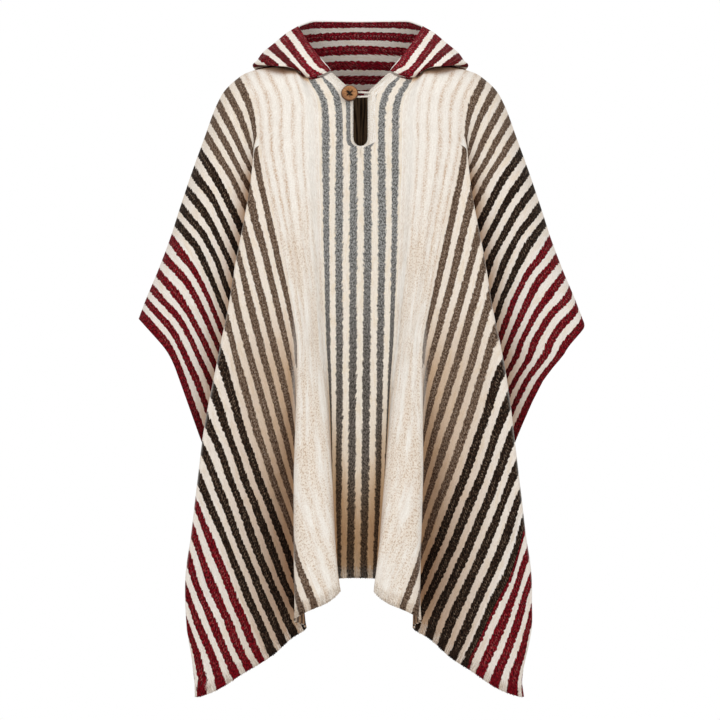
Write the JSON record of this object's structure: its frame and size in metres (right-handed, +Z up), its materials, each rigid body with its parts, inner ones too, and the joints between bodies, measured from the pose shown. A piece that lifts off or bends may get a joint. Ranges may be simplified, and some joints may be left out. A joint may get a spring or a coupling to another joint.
{
  "type": "andean poncho",
  "caption": "Hooded Andean poncho in long striped woollen cloth, worn and hanging open at the sides, with a keyhole neck, a round button and a cord loop.",
  "frame": {"origin": "midway between the shoulders at the base of the neck, where the wearer carries the poncho", "axes": "+Z up along the wearer's body, the front faces -Y, +X is to the right of someone who looks at the front"},
  "size_m": [0.7562, 0.3225, 1.1502],
  "materials": {
    "cream_wool": "brushed striped wool",
    "red_wool": "brushed striped wool",
    "white_wool": "twisted wool yarn",
    "coconut_shell": "satin"
  },
  "bodies": {
    "root": {"front": "cream_wool", "back": "cream_wool", "hood": "red_wool", "slit_edging": "white_wool", "button": "coconut_shell", "button_loop": "white_wool"}
  },
  "joints": []
}
